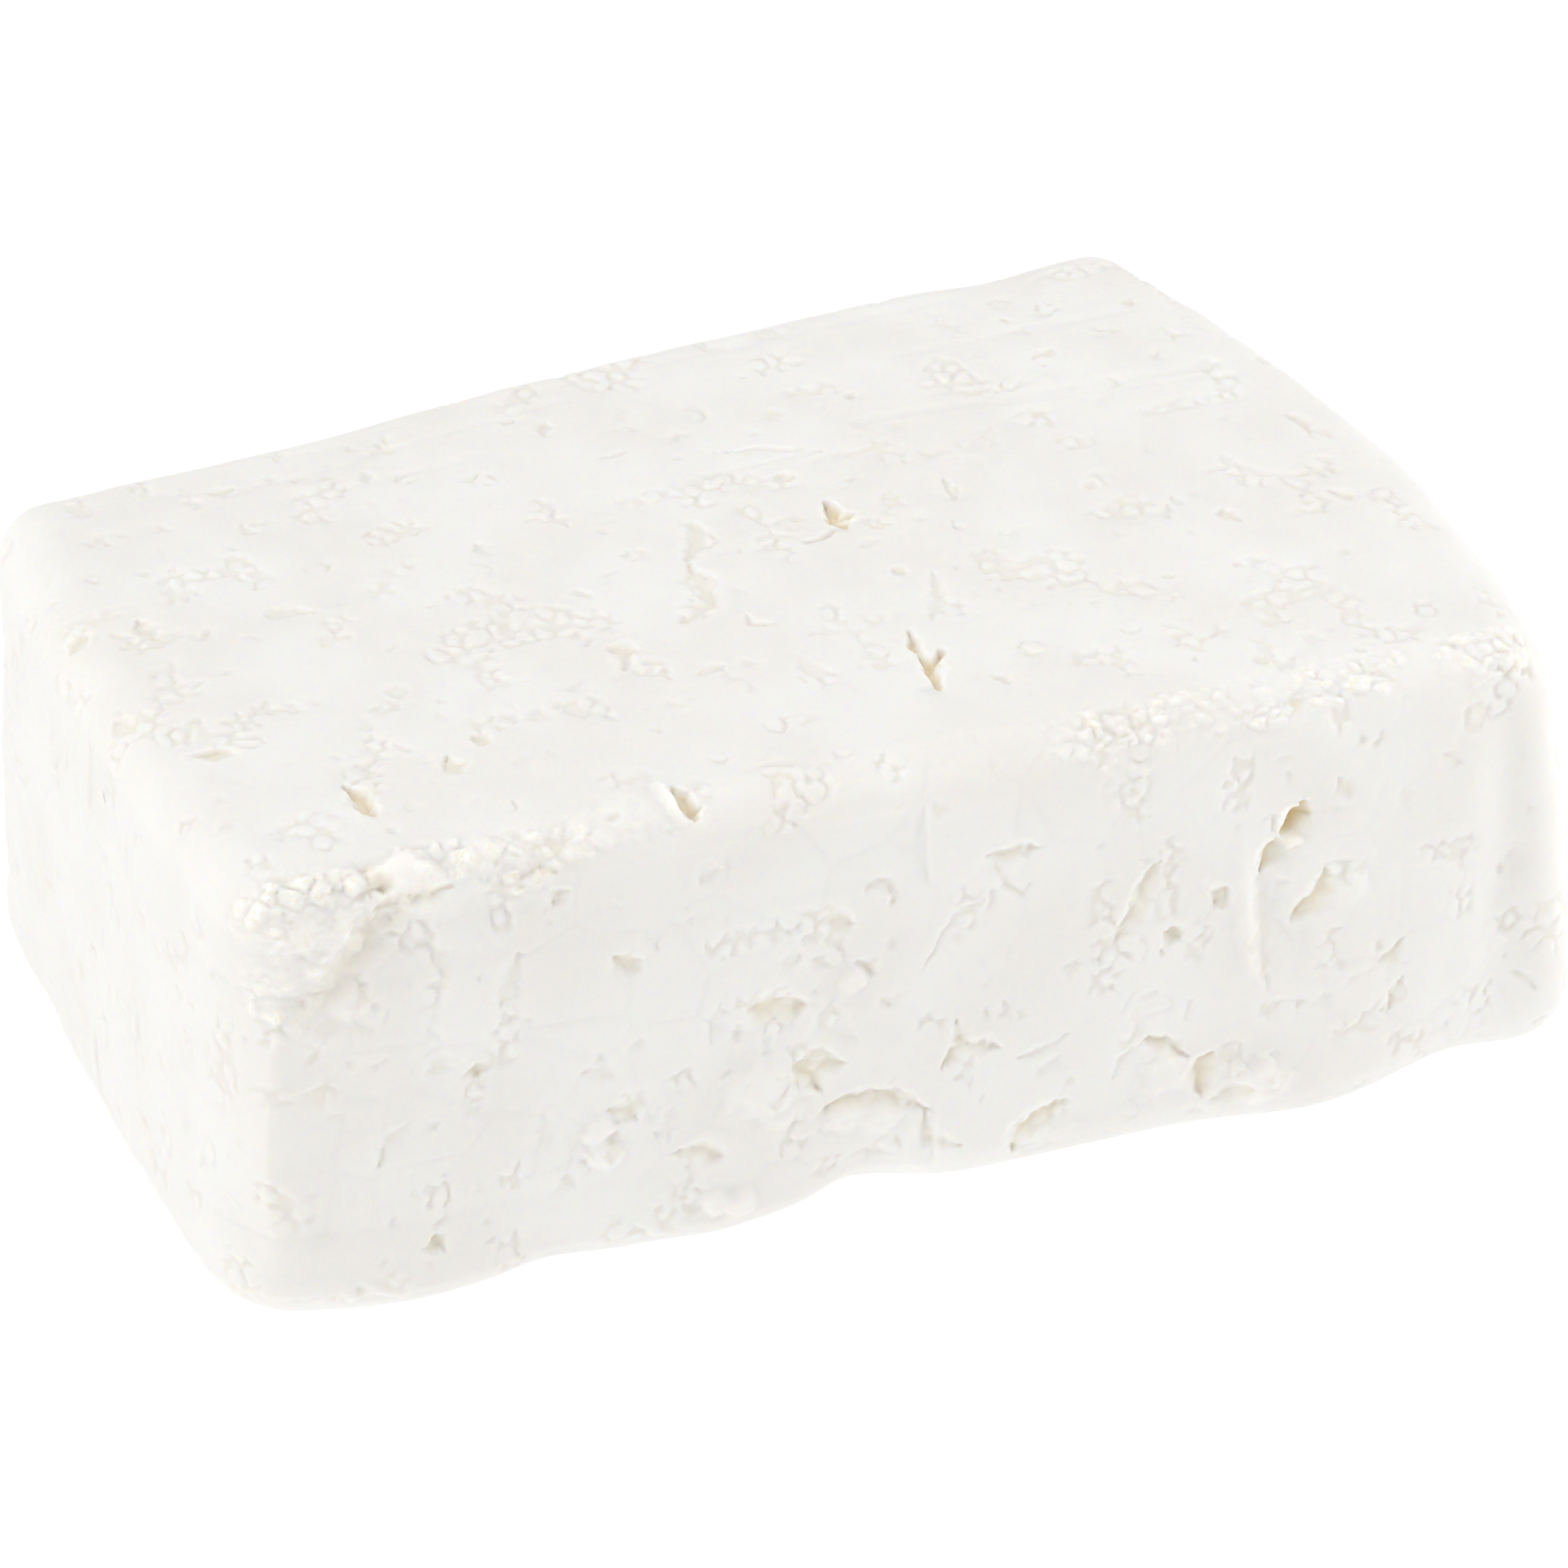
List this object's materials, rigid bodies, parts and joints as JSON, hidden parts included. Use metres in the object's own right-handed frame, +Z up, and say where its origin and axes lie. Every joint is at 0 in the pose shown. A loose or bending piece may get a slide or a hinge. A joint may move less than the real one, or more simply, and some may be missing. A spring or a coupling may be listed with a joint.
{
  "type": "block of fresh cheese",
  "caption": "Rounded block of fresh white brined-style cheese with torn curd openings, a crumbly front rim and a flat base to lie on.",
  "frame": {"origin": "middle of the block's bounding box at the level of the face it lies on", "axes": "+X along the block's long side, +Y from the side with the crumbly rim to the far side, +Z up"},
  "size_m": [0.0978, 0.0652, 0.0345],
  "materials": {
    "cheese_curd": "moist, dull, slightly translucent white curd"
  },
  "bodies": {
    "root": {"cheese_block": "cheese_curd"}
  },
  "joints": []
}
